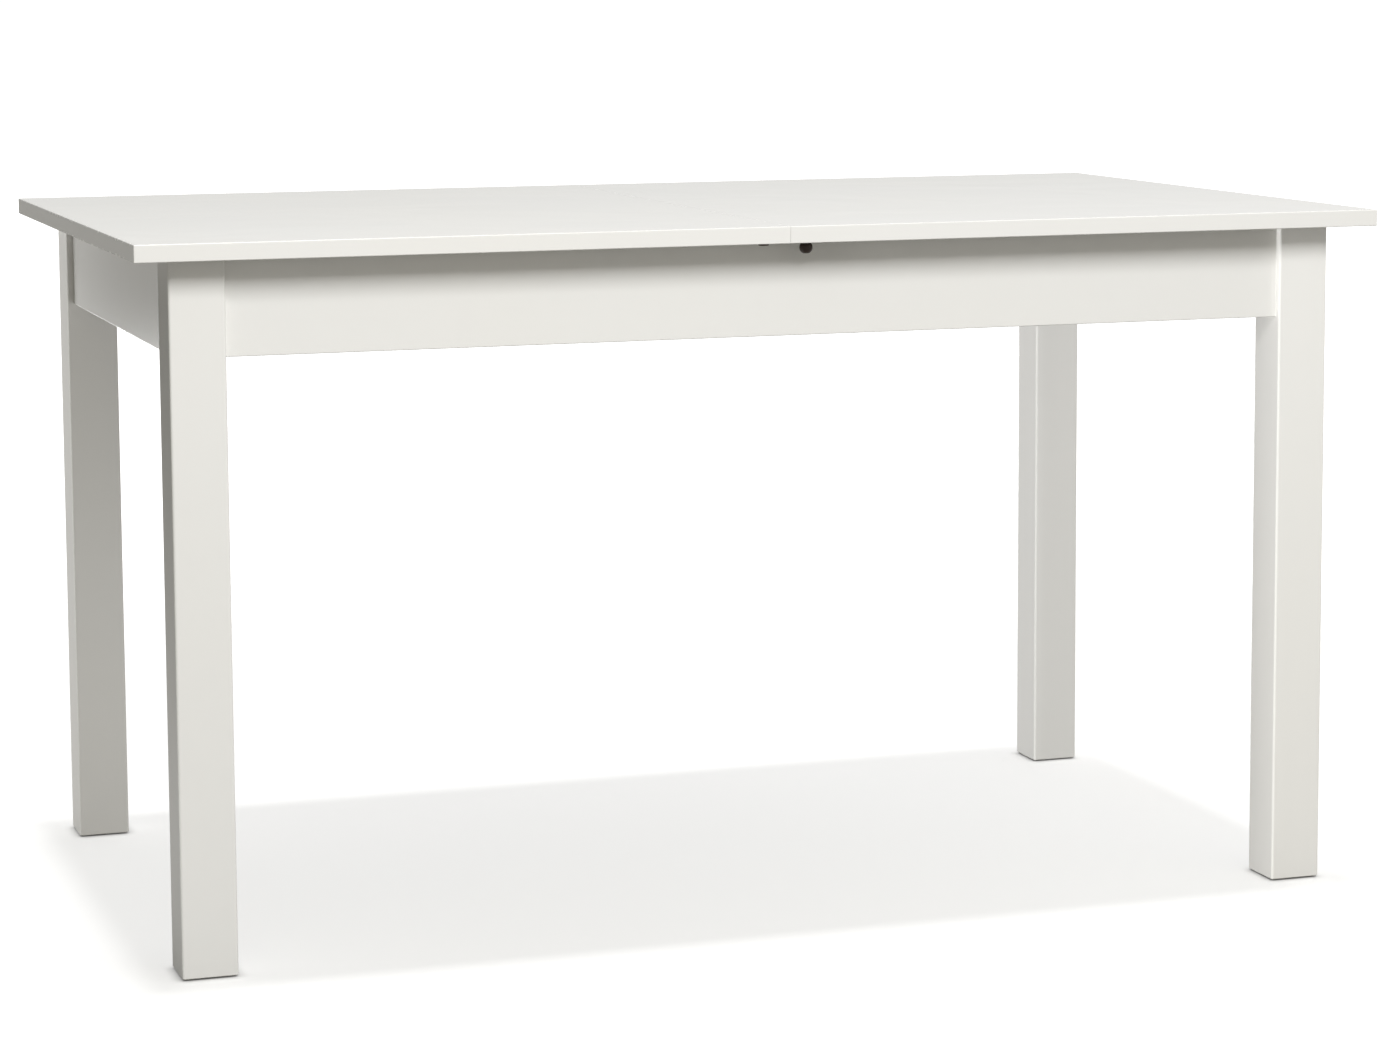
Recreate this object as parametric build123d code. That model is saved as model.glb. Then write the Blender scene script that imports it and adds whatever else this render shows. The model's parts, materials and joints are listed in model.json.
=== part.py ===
"""Extendable dining table with a two-part sliding top and a stored folding leaf.

Four square legs and four aprons make a fixed frame. The top is two boards that meet at a seam in
the middle. Each board hangs on two wooden runners whose nylon glide blocks slide in aluminium
rails, so that it pulls out sideways by half the leaf's width. The leaf is two flaps, folded face to
face and stored on pivots between two cross rails. A hook under the front overhang locks the seam.

Millimetres. The origin is on the floor under the middle of the table, +Z is up, X runs along the
table, and -Y is the front, where the lock is. "Left" is -X.
"""

from build123d import *
from math import sqrt
import os

# ---- overall sizes ----
top_length = 1370.0
top_depth = 800.0
table_height = 755.0
top_thickness = 18.0
overhang_x = 40.0  # from the end of the top to the leg's outer face
overhang_y = 40.0
seam_gap = 0.2
travel = 200.0  # how far each half pulls out
running_gap = 1.0  # between the frame's top edges and the sliding halves
fit_gap = 0.3  # between faces that only just clear each other
pin_gap = 0.1  # radial, round a pin that turns
hole_gap = 0.05  # radial, round a screw, dowel or bolt that is fixed
hole_end_gap = 0.5  # past the end of a screw, dowel or bolt
cut_margin = 1.0  # how far a cutting solid runs past the face it enters

# ---- frame ----
leg_size = 58.0
leg_edge_radius = 2.5
foot_chamfer = 0.8
apron_thickness = 18.0
apron_height = 100.0
apron_recess = 8.0  # from the leg's outer face to the apron's
board_edge_radius = 1.0
seam_edge_radius = 0.2
foot_glide_radius = 15.0
foot_glide_height = 1.5
foot_glide_round = 0.6
foot_nail_radius = 2.0
foot_nail_root = 0.5  # height of the nail's end inside the glide
foot_nail_length = 16.0
pad_radius = 8.0
pad_spacing = 300.0  # between the two pads on each apron's top edge

# ---- leg joints ----
dowel_radius = 4.0
dowel_length = 40.0
dowel_inset = 20.0  # from the apron's top and bottom edges
leg_flat = 8.0  # width cut off the leg's inner edge, along each face
bracket_thickness = 2.5
bracket_lift = 4.0  # above the apron's bottom edge
bracket_gap = 3.0  # below the slide rails and the runners' path
bracket_standoff = 14.0  # from the leg's inner edge, along the diagonal
bracket_flange = 32.0
bracket_screw_reach = 17.6  # along the flange from the bend to its screws
bracket_hole_gap = 0.2  # radial, round the bolt
bolt_radius = 4.0
bolt_depth = 45.0  # in the leg
bolt_length_outside = 36.0
washer_radius = 9.0
washer_thickness = 1.6
nut_radius = 7.5
nut_thickness = 6.5

# ---- slides ----
rail_depth = 16.0
rail_height = 30.0
rail_wall = 2.0
rail_slot = 12.0
rail_drop = 12.0  # from the frame's top edge to the rail
rail_end_gap = 2.0  # from the rail's end to the leg
rail_screw_count = 6
runner_width = 22.0
runner_height = 50.0
runner_edge_radius = 2.0
runner_seam_gap = 35.0  # from the middle of the table to the runner's inner end
runner_screw_count = 3
runner_screw_inset = 90.0  # from the runner's ends, between the glide blocks
runner_screw_bite = 10.8  # how far the screws enter the top
glide_head_length = 60.0
glide_flange_length = 84.0
glide_flange_thickness = 4.0
glide_flange_radius = 2.0
glide_inset = 10.0  # from the runner's end to the glide's flange
glide_clearance = 0.4
glide_web_gap = 2.4  # from the glide's head to the rail's web, over the screw heads
glide_screw_inset = 6.0  # from the flange's end
glide_screw_sink = 1.0  # from the flange's face to the screw's seat

# ---- cross rails and leaf ----
cross_rail_thickness = 18.0
cross_rail_lift = 14.0  # above the apron's bottom edge
cross_rail_leaf_gap = 14.0  # from the leaf's end to the cross rail
notch_gap = 3.0  # from the runners to the notched ends of the cross rails
angle_length = 28.0
angle_notch_gap = 8.0  # from the angle to the notch above it
angle_thickness = 2.0
angle_screw_reach = 18.2  # from the corner to each screw
rest_rail_width = 20.0
rest_rail_height = 28.0
leaf_face_gap = 0.4  # between the folded flaps
pivot_drop = 9.0  # from the leaf's underside to its pivot
pivot_pin_radius = 4.0
pivot_pin_head_radius = 6.0
pivot_pin_head = 2.5
pivot_plate_thickness = 3.0
pivot_plate_width = 36.0
pivot_plate_height = 36.0
pivot_plate_radius = 3.0
pivot_plate_screw_drop = 28.8  # below the plate's top
pivot_plate_screw_step = 10.0  # from the pivot's line to each screw
pivot_plate_top_gap = 0.5  # below the frame's top edge
leaf_bracket_thickness = 2.5
leaf_bracket_width = 30.0
leaf_bracket_length = 28.0
leaf_bracket_inset = 2.0  # from the leaf's end to the ear
leaf_bracket_screw_reach = 19.6  # from the ear's outer face to the screws
leaf_bracket_screw_step = 9.0  # from the pivot's line to each screw
leaf_ear_radius = 7.0
hinge_spacing = 140.0
hinge_barrel_radius = 6.0
hinge_barrel_length = 14.0
hinge_link_thickness = 4.0
hinge_link_width = 5.0
hinge_link_reach = 3.0  # outside the flaps' edges
hinge_slot_depth = 8.0
hinge_tongue_gap = 1.0  # from the link's tongue to the slot's bottom
seam_dowel_radius = 4.0
seam_dowel_reach = 8.0  # out of the edge
seam_dowel_depth = 20.0  # in the edge
seam_dowel_round = 1.6
seam_socket_gap = 3.0  # past the dowel's nose
seam_dowel_gap = 0.2  # radial, where a dowel slides into its hole
seam_dowel_inset = 100.0  # from the table's middle line and from its edges

# ---- lock under the front overhang ----
lock_edge_inset = 24.0  # from the top's front edge to the lock's pivot
lock_knob_x = 25.5
lock_peg_x = -21.5
lock_knob_radius = 7.0
lock_knob_drop = 6.2  # from the underside to the middle of the round knob
lock_hook_thickness = 1.2
lock_hook_width = 13.0
lock_hook_tail = 9.0  # past the peg
lock_hook_corner = 3.9
lock_peg_radius = 2.5
lock_peg_head_radius = 5.5
lock_peg_head = 1.2
lock_slot_clearance = 0.5  # on each side of the peg
lock_screw_radius = 1.9
lock_screw_head_radius = 3.2
lock_screw_head = 2.2
lock_screw_depth = 13.0
lock_screw_sink = 2.5  # from the middle of the knob to the screw's seat

# ---- wood screws: shank radius, shank length, head radius, head height ----
frame_screw = (1.75, 14.0, 3.4, 1.8)
runner_screw = (2.0, 26.0, 4.0, 2.4)
glide_screw = (1.5, 14.0, 2.8, 1.4)
rest_screw = (2.0, 36.0, 4.0, 2.4)
head_rounding = 0.45  # of the head's height
recess_length = 1.15  # of the head's radius
recess_width = 0.8
recess_depth = 1.0

# ---- places worked out from the sizes ----
half_length = top_length / 2
half_depth = top_depth / 2
underside = table_height - top_thickness
frame_top = underside - running_gap
apron_bottom = frame_top - apron_height
leg_outer_x = half_length - overhang_x
leg_outer_y = half_depth - overhang_y
leg_inner_x = leg_outer_x - leg_size
leg_inner_y = leg_outer_y - leg_size
apron_outer_x = leg_outer_x - apron_recess
apron_outer_y = leg_outer_y - apron_recess
apron_inner_x = apron_outer_x - apron_thickness
apron_inner_y = apron_outer_y - apron_thickness

rail_top = frame_top - rail_drop
rail_bottom = rail_top - rail_height
rail_middle = (rail_top + rail_bottom) / 2
rail_inner_y = apron_inner_y - rail_depth
rail_end_x = leg_inner_x - rail_end_gap
glide_flange_y = rail_inner_y - 1.5 * glide_clearance
runner_outer_y = glide_flange_y - glide_flange_thickness
runner_inner_y = runner_outer_y - runner_width
runner_bottom = underside - runner_height
bracket_bottom = apron_bottom + bracket_lift
bracket_height = min(rail_bottom, runner_bottom) - bracket_gap - bracket_bottom
bracket_middle_z = bracket_bottom + bracket_height / 2
runner_end_x = rail_end_x - travel
glide_outer_x = runner_end_x - glide_inset - glide_flange_length / 2
glide_inner_x = runner_seam_gap + glide_inset + glide_flange_length / 2

leaf_end_x = travel
flap_depth = half_depth
pivot_z = underside - pivot_drop
pivot_y = -flap_depth / 4
stack_top = 2 * pivot_z - underside
upper_flap_bottom = stack_top - top_thickness
lower_flap_top = upper_flap_bottom - leaf_face_gap
stack_bottom = lower_flap_top - top_thickness
upper_flap_middle = stack_top - top_thickness / 2
lower_flap_middle = lower_flap_top - top_thickness / 2
stack_hinge_y = 2 * pivot_y
stack_free_y = stack_hinge_y + flap_depth
cross_rail_inner_x = leaf_end_x + cross_rail_leaf_gap
cross_rail_outer_x = cross_rail_inner_x + cross_rail_thickness
cross_rail_bottom = apron_bottom + cross_rail_lift
notch_bottom = runner_bottom - notch_gap
angle_bottom = cross_rail_bottom + fit_gap
angle_height = notch_bottom - angle_notch_gap - angle_bottom
seam_dowel_z = table_height - top_thickness / 2

lock_y = -half_depth + lock_edge_inset
lock_hook_top = underside - fit_gap
lock_hook_bottom = lock_hook_top - lock_hook_thickness
lock_reach = lock_knob_x - lock_peg_x

SIDES = {"left": -1, "right": 1}
ENDS = {"front": -1, "back": 1}
parts = {}


# ---- helpers ----
def block(x, y, z):
    """A box from three (low, high) pairs, in any order."""
    spans = [(min(pair), max(pair)) for pair in (x, y, z)]
    middle = [(low + high) / 2 for low, high in spans]
    return Pos(*middle) * Box(*[high - low for low, high in spans])


def rod(start, direction, radius, length):
    """A cylinder that grows from start along direction."""
    at = Plane(origin=start, z_dir=direction)
    return at * Cylinder(radius, length, align=(Align.CENTER, Align.CENTER, Align.MIN))


def prism(points, z_low, z_high):
    """A polygon in plan, pulled up from z_low to z_high."""
    face = make_face(Polyline(*points, close=True))
    return extrude(Pos(0, 0, z_low) * face, z_high - z_low)


def joined(shapes):
    """One node of several separate solids."""
    return Compound(children=[solid for shape in shapes for solid in shape.solids()])


def screw(seat, into, sizes):
    """A cross-head wood screw whose head sits on the seat point; into points into the wood."""
    radius, length, head_radius, head = sizes
    away = tuple(-value for value in into)
    shank = rod(seat, into, radius, length)
    cap = rod(seat, away, head_radius, head)
    rim = cap.edges().group_by(lambda edge: distance_along(edge.center(), seat, away))[-1]
    cap = fillet(rim, head * head_rounding)
    recess_seat = Plane(origin=point_along(seat, away, head - recess_depth / 2), z_dir=away)
    slot_length = head_radius * recess_length
    for size in ((slot_length, recess_width), (recess_width, slot_length)):
        cap -= recess_seat * Box(*size, recess_depth)
    return cap + shank


def point_along(start, direction, distance):
    """The point at a distance from start, along a direction of any length."""
    unit = Vector(*direction).normalized()
    return tuple(Vector(*start) + unit * distance)


def distance_along(point, start, direction):
    """How far a point lies from start, measured along a direction, rounded to group edges."""
    return round((Vector(*point) - Vector(*start)).dot(Vector(*direction).normalized()), 3)


def screw_hole(seat, into, sizes):
    """The hole that a screw's shank fills."""
    radius, length = sizes[:2]
    start = point_along(seat, into, -cut_margin)
    return rod(start, into, radius + hole_gap, length + cut_margin + hole_end_gap)


def fasten(node, names, seats, sizes):
    """Adds screws to a node at (seat, into) places, and drills each hole in the named parts."""
    driven = [parts[node]] if node in parts else []
    parts[node] = joined(driven + [screw(seat, into, sizes) for seat, into in seats])
    for name in names:
        for seat, into in seats:
            tool = screw_hole(seat, into, sizes)
            if boxes_meet(parts[name], tool):
                parts[name] = parts[name] - tool


def drill(name, tools):
    """Cuts each tool that reaches it out of a part."""
    for tool in tools:
        if boxes_meet(parts[name], tool):
            parts[name] = parts[name] - tool


def boxes_meet(shape, other):
    """Whether the bounding boxes of two shapes touch."""
    one, two = shape.bounding_box(), other.bounding_box()
    low = [max(a, b) for a, b in zip(tuple(one.min), tuple(two.min))]
    high = [min(a, b) for a, b in zip(tuple(one.max), tuple(two.max))]
    return all(a <= b for a, b in zip(low, high))


def spaced(count, low, high):
    """Evenly spaced places from low to high."""
    return [low + (high - low) * index / (count - 1) for index in range(count)]


# ---- legs and their feet ----
def make_leg(sx, sy):
    """A square leg with rounded edges, and a flat on its inner edge behind the bracket."""
    leg = block(
        (sx * leg_inner_x, sx * leg_outer_x),
        (sy * leg_inner_y, sy * leg_outer_y),
        (foot_glide_height, frame_top),
    )
    leg = fillet(leg.edges().filter_by(Axis.Z), leg_edge_radius)
    leg = chamfer(leg.faces().sort_by(Axis.Z)[0].edges(), foot_chamfer)
    corner = (sx * leg_inner_x, sy * leg_inner_y)
    flat = [
        corner,
        (corner[0] + sx * leg_flat, corner[1]),
        (corner[0], corner[1] + sy * leg_flat),
    ]
    leg -= prism(flat, apron_bottom, frame_top)
    middle = (sx * (leg_outer_x - leg_size / 2), sy * (leg_outer_y - leg_size / 2))
    start = (*middle, foot_glide_height)
    leg -= rod(start, (0, 0, 1), foot_nail_radius + hole_gap, foot_nail_length)
    return leg


def make_foot_glide(sx, sy):
    """A round plastic nail-on glide under a leg."""
    middle = (sx * (leg_outer_x - leg_size / 2), sy * (leg_outer_y - leg_size / 2))
    disc = rod((*middle, 0), (0, 0, 1), foot_glide_radius, foot_glide_height)
    disc = fillet(disc.edges().sort_by(Axis.Z)[0], foot_glide_round)
    nail = rod((*middle, foot_nail_root), (0, 0, 1), foot_nail_radius, foot_nail_length)
    return disc + nail


def make_legs():
    for end, sy in ENDS.items():
        for side, sx in SIDES.items():
            parts[f"leg_{end}_{side}"] = make_leg(sx, sy)
            parts[f"foot_glide_{end}_{side}"] = make_foot_glide(sx, sy)


# ---- aprons, their dowels and their pads ----
def make_long_apron(sy):
    board = block(
        (-leg_inner_x, leg_inner_x),
        (sy * apron_inner_y, sy * apron_outer_y),
        (apron_bottom, frame_top),
    )
    return fillet(board.edges().filter_by(Axis.X), board_edge_radius)


def make_short_apron(sx):
    board = block(
        (sx * apron_inner_x, sx * apron_outer_x),
        (-leg_inner_y, leg_inner_y),
        (apron_bottom, frame_top),
    )
    return fillet(board.edges().filter_by(Axis.Y), board_edge_radius)


def apron_dowels(radius, length):
    """Rods across every joint of an apron and a leg, two to a joint."""
    rods = []
    long_y = apron_inner_y + apron_thickness / 2
    short_x = apron_inner_x + apron_thickness / 2
    for z in (apron_bottom + dowel_inset, frame_top - dowel_inset):
        for sx in SIDES.values():
            for sy in ENDS.values():
                start = (sx * (leg_inner_x - length / 2), sy * long_y, z)
                rods.append(rod(start, (sx, 0, 0), radius, length))
                start = (sx * short_x, sy * (leg_inner_y - length / 2), z)
                rods.append(rod(start, (0, sy, 0), radius, length))
    return rods


def make_pads():
    """Low nylon buttons on the aprons' top edges, just under the sliding halves."""
    height = running_gap - fit_gap
    long_y = apron_inner_y + apron_thickness / 2
    short_x = apron_inner_x + apron_thickness / 2
    places = []
    for offset in (-pad_spacing / 2, pad_spacing / 2):
        places += [(offset, sy * long_y) for sy in ENDS.values()]
        places += [(sx * short_x, offset) for sx in SIDES.values()]
    return joined([rod((x, y, frame_top), (0, 0, 1), pad_radius, height) for x, y in places])


def make_aprons():
    for end, sy in ENDS.items():
        parts[f"apron_{end}"] = make_long_apron(sy)
    for side, sx in SIDES.items():
        parts[f"apron_{side}"] = make_short_apron(sx)
    parts["apron_dowels"] = joined(apron_dowels(dowel_radius, dowel_length))
    holes = apron_dowels(dowel_radius + hole_gap, dowel_length + 2 * hole_end_gap)
    for name in [n for n in parts if n.startswith("leg_") or n in frame_boards()]:
        drill(name, holes)
    parts["apron_top_pads"] = make_pads()


def frame_boards():
    return ["apron_front", "apron_back", "apron_left", "apron_right"]


# ---- corner brackets with their hanger bolts ----
def make_corner_bracket(sx, sy):
    """A bent plate across the corner, with a flange on each apron."""
    outer = leg_inner_x + leg_inner_y - bracket_standoff * sqrt(2)
    inner = outer - bracket_thickness * sqrt(2)
    x_face, y_face = apron_inner_x, apron_inner_y
    x_in, y_in = x_face - bracket_thickness, y_face - bracket_thickness
    long_end = outer - y_face - bracket_flange
    short_end = outer - x_face - bracket_flange
    outline = [
        (long_end, y_face),
        (outer - y_face, y_face),
        (x_face, outer - x_face),
        (x_face, short_end),
        (x_in, short_end),
        (x_in, inner - x_in),
        (inner - y_in, y_in),
        (long_end, y_in),
    ]
    points = [(sx * x, sy * y) for x, y in outline]
    return prism(points, bracket_bottom, bracket_bottom + bracket_height)


def diagonal_point(sx, sy, reach):
    """A point on the hanger bolt's axis, reach from the leg's inner edge towards the middle."""
    step = reach / sqrt(2)
    return (sx * (leg_inner_x - step), sy * (leg_inner_y - step), bracket_middle_z)


def bracket_screw_seats(sx, sy):
    """Where the two screws in each flange sit, and the way they point."""
    outer = leg_inner_x + leg_inner_y - bracket_standoff * sqrt(2)
    along_long = outer - apron_inner_y - bracket_screw_reach
    along_short = outer - apron_inner_x - bracket_screw_reach
    seats = []
    for step in (-bracket_height / 4, bracket_height / 4):
        z = bracket_middle_z + step
        seat = (sx * along_long, sy * (apron_inner_y - bracket_thickness), z)
        seats.append((seat, (0, sy, 0)))
        seat = (sx * (apron_inner_x - bracket_thickness), sy * along_short, z)
        seats.append((seat, (sx, 0, 0)))
    return seats


def make_corner_joints():
    bolts, washers, nuts, seats = [], [], [], []
    flat_reach = -leg_flat / sqrt(2)
    for end, sy in ENDS.items():
        for side, sx in SIDES.items():
            inward, outward = (-sx, -sy, 0), (sx, sy, 0)
            deep_end = diagonal_point(sx, sy, flat_reach - bolt_depth)
            bolt_length = bolt_depth + bolt_length_outside
            bolts.append(rod(deep_end, inward, bolt_radius, bolt_length))
            hole_start = diagonal_point(sx, sy, flat_reach + cut_margin)
            hole_length = bolt_depth + cut_margin + hole_end_gap
            hole = rod(hole_start, outward, bolt_radius + hole_gap, hole_length)
            parts[f"leg_{end}_{side}"] -= hole
            bracket = make_corner_bracket(sx, sy)
            bracket -= rod(deep_end, inward, bolt_radius + bracket_hole_gap, 2 * bolt_length)
            parts[f"corner_bracket_{end}_{side}"] = bracket
            seats += bracket_screw_seats(sx, sy)
            face = bracket_standoff + bracket_thickness
            washer = rod(diagonal_point(sx, sy, face), inward, washer_radius, washer_thickness)
            washer -= rod(deep_end, inward, bolt_radius + pin_gap, 2 * bolt_length)
            washers.append(washer)
            nut_seat = Plane(
                origin=diagonal_point(sx, sy, face + washer_thickness),
                x_dir=(0, 0, 1),
                z_dir=inward,
            )
            nut = extrude(nut_seat * RegularPolygon(nut_radius, 6), nut_thickness)
            nut -= rod(deep_end, inward, bolt_radius + hole_gap, 2 * bolt_length)
            nuts.append(nut)
    parts["leg_hanger_bolts"] = joined(bolts)
    parts["leg_bolt_washers"] = joined(washers)
    parts["leg_bolt_nuts"] = joined(nuts)
    names = frame_boards() + [n for n in parts if n.startswith("corner_bracket_")]
    fasten("frame_screws", names, seats, frame_screw)


# ---- slide rails, runners and glide blocks ----
def make_slide_rail(sy):
    """A C-shaped aluminium rail whose slot faces the middle of the table."""
    span = (-rail_end_x, rail_end_x)
    rail = block(span, (sy * rail_inner_y, sy * apron_inner_y), (rail_bottom, rail_top))
    channel_y = (sy * (rail_inner_y + rail_wall), sy * (apron_inner_y - rail_wall))
    rail -= block(span, channel_y, (rail_bottom + rail_wall, rail_top - rail_wall))
    slot_z = (rail_middle - rail_slot / 2, rail_middle + rail_slot / 2)
    slot_y = (sy * (rail_inner_y - cut_margin), sy * (rail_inner_y + rail_wall))
    return rail - block(span, slot_y, slot_z)


def channel_head(x, sy, gap):
    """A block between two X places in the rail's channel, with a gap above, below and in front."""
    y = (sy * (rail_inner_y + rail_wall + gap), sy * (apron_inner_y - rail_wall - glide_web_gap))
    low = rail_bottom + rail_wall + gap
    high = rail_top - rail_wall - gap
    return block(x, y, (low, high))


def make_rail_stop(sx, sy):
    """A plug in the rail's end that the outer glide block meets when its half is pulled out."""
    reach = glide_outer_x + glide_head_length / 2 + travel + fit_gap
    stop = channel_head((sx * reach, sx * rail_end_x), sy, 0)
    tongue_y = (sy * rail_inner_y, sy * (rail_inner_y + rail_wall))
    tongue_z = (rail_middle - rail_slot / 2, rail_middle + rail_slot / 2)
    return stop + block((sx * reach, sx * rail_end_x), tongue_y, tongue_z)


def make_runner(sx, sy):
    """A wooden batten under one half of the top."""
    batten = block(
        (sx * runner_seam_gap, sx * runner_end_x),
        (sy * runner_inner_y, sy * runner_outer_y),
        (runner_bottom, underside),
    )
    low_edges = batten.edges().filter_by(Axis.X).sort_by(Axis.Z)[:2]
    return fillet(low_edges, runner_edge_radius)


def make_glide_block(x, sy):
    """A nylon block: a head in the rail, a neck through its slot and a flange on the runner."""
    head_x = (x - glide_head_length / 2, x + glide_head_length / 2)
    head = channel_head(head_x, sy, glide_clearance)
    half_slot = rail_slot / 2 - glide_clearance
    neck = block(
        head_x,
        (sy * glide_flange_y, sy * (rail_inner_y + rail_wall + glide_clearance)),
        (rail_middle - half_slot, rail_middle + half_slot),
    )
    flange = block(
        (x - glide_flange_length / 2, x + glide_flange_length / 2),
        (sy * runner_outer_y, sy * glide_flange_y),
        (rail_bottom, rail_top),
    )
    flange = fillet(flange.edges().filter_by(Axis.Y), glide_flange_radius)
    return head + neck + flange


def glide_screw_seats(x, sy):
    reach = glide_flange_length / 2 - glide_screw_inset
    seat_y = sy * (glide_flange_y - glide_screw_sink)
    return [((x + step, seat_y, rail_middle), (0, -sy, 0)) for step in (-reach, reach)]


def rail_screw_seats(sy):
    """Places for the rail's screws, spread between the rail's ends."""
    inset = glide_head_length / 2
    seat_y = sy * (apron_inner_y - rail_wall)
    places = spaced(rail_screw_count, -rail_end_x + inset, rail_end_x - inset)
    return [((x, seat_y, rail_middle), (0, sy, 0)) for x in places]


def make_slide_rails():
    seats, stops = [], []
    for end, sy in ENDS.items():
        parts[f"slide_rail_{end}"] = make_slide_rail(sy)
        seats += rail_screw_seats(sy)
        stops += [make_rail_stop(sx, sy) for sx in SIDES.values()]
    names = ["slide_rail_front", "slide_rail_back", "apron_front", "apron_back"]
    fasten("frame_screws", names, seats, frame_screw)
    parts["slide_rail_stops"] = joined(stops)


def make_runners():
    for side, sx in SIDES.items():
        glide_seats, runner_seats, blocks = [], [], []
        for end, sy in ENDS.items():
            parts[f"runner_{side}_{end}"] = make_runner(sx, sy)
            for x in (sx * glide_inner_x, sx * glide_outer_x):
                seats = glide_screw_seats(x, sy)
                glide = make_glide_block(x, sy)
                for seat, into in seats:
                    away = tuple(-value for value in into)
                    well_depth = glide_screw_sink + cut_margin
                    glide -= rod(seat, away, glide_screw[2] + hole_gap, well_depth)
                blocks.append(glide)
                glide_seats += seats
            middle_y = sy * (runner_inner_y + runner_width / 2)
            first, last = (
                sx * (runner_seam_gap + runner_screw_inset),
                sx * (runner_end_x - runner_screw_inset),
            )
            depth = runner_height - runner_screw[1] + runner_screw_bite
            for x in spaced(runner_screw_count, first, last):
                runner_seats.append(((x, middle_y, runner_bottom + depth), (0, 0, 1)))
        parts[f"glide_blocks_{side}"] = joined(blocks)
        runners = [f"runner_{side}_{end}" for end in ENDS]
        names = [f"glide_blocks_{side}"] + runners
        fasten(f"glide_screws_{side}", names, glide_seats, glide_screw)
        for name in runners:
            wells = [
                rod(seat, (0, 0, -1), runner_screw[2] + hole_gap, runner_height)
                for seat, _ in runner_seats
            ]
            drill(name, wells)
        names = runners + [f"top_{side}"]
        fasten(f"runner_screws_{side}", names, runner_seats, runner_screw)


# ---- the two halves of the top ----
def make_top_half(sx):
    """One half of the top: rounded outside, almost sharp at the seam."""
    board = block(
        (sx * seam_gap / 2, sx * half_length),
        (-half_depth, half_depth),
        (underside, table_height),
    )
    seam_x = seam_gap
    outside = [edge for edge in board.edges() if abs(edge.center().X) > seam_x]
    board = fillet(outside, board_edge_radius)
    seam = [e for e in board.edges() if abs(e.center().X) < seam_x]
    return fillet([e for e in seam if e.length > top_depth / 2], seam_edge_radius)


def seam_places():
    inner, outer = seam_dowel_inset, half_depth - seam_dowel_inset
    return [-outer, -inner, inner, outer]


def make_tops():
    """The halves, with dowels in the left one's edge that enter holes in the right one's."""
    parts["top_left"] = make_top_half(-1)
    parts["top_right"] = make_top_half(1)
    pins, own_holes, far_holes = [], [], []
    edge = seam_gap / 2
    for y in seam_places():
        root = (-edge - seam_dowel_depth, y, seam_dowel_z)
        length = seam_dowel_depth + seam_dowel_reach
        pins.append(rounded_dowel(root, (1, 0, 0), length))
        start = (-edge + cut_margin, y, seam_dowel_z)
        hole_length = seam_dowel_depth + cut_margin + hole_end_gap
        own = rod(start, (-1, 0, 0), seam_dowel_radius + hole_gap, hole_length)
        own_holes.append(own)
        far_holes.append(dowel_socket((edge, y, seam_dowel_z), (1, 0, 0)))
    parts["seam_dowels"] = joined(pins)
    drill("top_left", own_holes)
    drill("top_right", far_holes)


def rounded_dowel(root, direction, length):
    """A dowel with a rounded nose at its far end."""
    dowel = rod(root, direction, seam_dowel_radius, length)
    nose = dowel.edges().sort_by(lambda e: distance_along(e.center(), root, direction))[-1]
    return fillet(nose, seam_dowel_round)


def dowel_socket(mouth, direction):
    """The hole that a seam dowel slides into."""
    start = point_along(mouth, direction, -cut_margin)
    depth = seam_dowel_reach + seam_socket_gap
    return rod(start, direction, seam_dowel_radius + seam_dowel_gap, depth + cut_margin)


# ---- cross rails ----
def make_cross_rail(sx):
    """A board between the long aprons, notched at both ends under the runners."""
    x = (sx * cross_rail_inner_x, sx * cross_rail_outer_x)
    board = block(x, (-apron_inner_y, apron_inner_y), (cross_rail_bottom, frame_top))
    notch_y = runner_inner_y - notch_gap
    notch_z = (notch_bottom, frame_top)
    for sy in ENDS.values():
        board -= block(x, (sy * notch_y, sy * apron_inner_y), notch_z)
    return board


def make_angle(sx, sy):
    """An L-shaped bracket that holds a cross rail's end to the apron."""
    z = (angle_bottom, angle_bottom + angle_height)
    x_face, y_face = cross_rail_outer_x, apron_inner_y
    on_apron = block(
        (sx * x_face, sx * (x_face + angle_length)),
        (sy * (y_face - angle_thickness), sy * y_face),
        z,
    )
    on_rail = block(
        (sx * x_face, sx * (x_face + angle_thickness)),
        (sy * (y_face - angle_length), sy * y_face),
        z,
    )
    return on_apron + on_rail


def angle_screw_seats(sx, sy):
    z = angle_bottom + angle_height / 2
    apron_x = cross_rail_outer_x + angle_screw_reach
    on_apron = (sx * apron_x, sy * (apron_inner_y - angle_thickness), z)
    rail_y = apron_inner_y - angle_screw_reach
    on_rail = (sx * (cross_rail_outer_x + angle_thickness), sy * rail_y, z)
    return [(on_apron, (0, sy, 0)), (on_rail, (-sx, 0, 0))]


def make_cross_rails():
    angles, angle_seats, rest_seats = [], [], []
    for side, sx in SIDES.items():
        parts[f"cross_rail_{side}"] = make_cross_rail(sx)
        for sy in ENDS.values():
            angles.append(make_angle(sx, sy))
            angle_seats += angle_screw_seats(sx, sy)
        rest_y = stack_free_y - rest_rail_width / 2
        rest_z = stack_bottom - rest_rail_height / 2
        rest_seats.append(((sx * cross_rail_outer_x, rest_y, rest_z), (-sx, 0, 0)))
    parts["cross_rail_angles"] = joined(angles)
    parts["leaf_rest_rail"] = block(
        (-cross_rail_inner_x, cross_rail_inner_x),
        (stack_free_y - rest_rail_width, stack_free_y),
        (stack_bottom - rest_rail_height, stack_bottom),
    )
    rails = ["cross_rail_left", "cross_rail_right"]
    names = ["cross_rail_angles", "apron_front", "apron_back"] + rails
    fasten("frame_screws", names, angle_seats, frame_screw)
    fasten("leaf_rest_rail_screws", ["leaf_rest_rail"] + rails, rest_seats, rest_screw)


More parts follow.
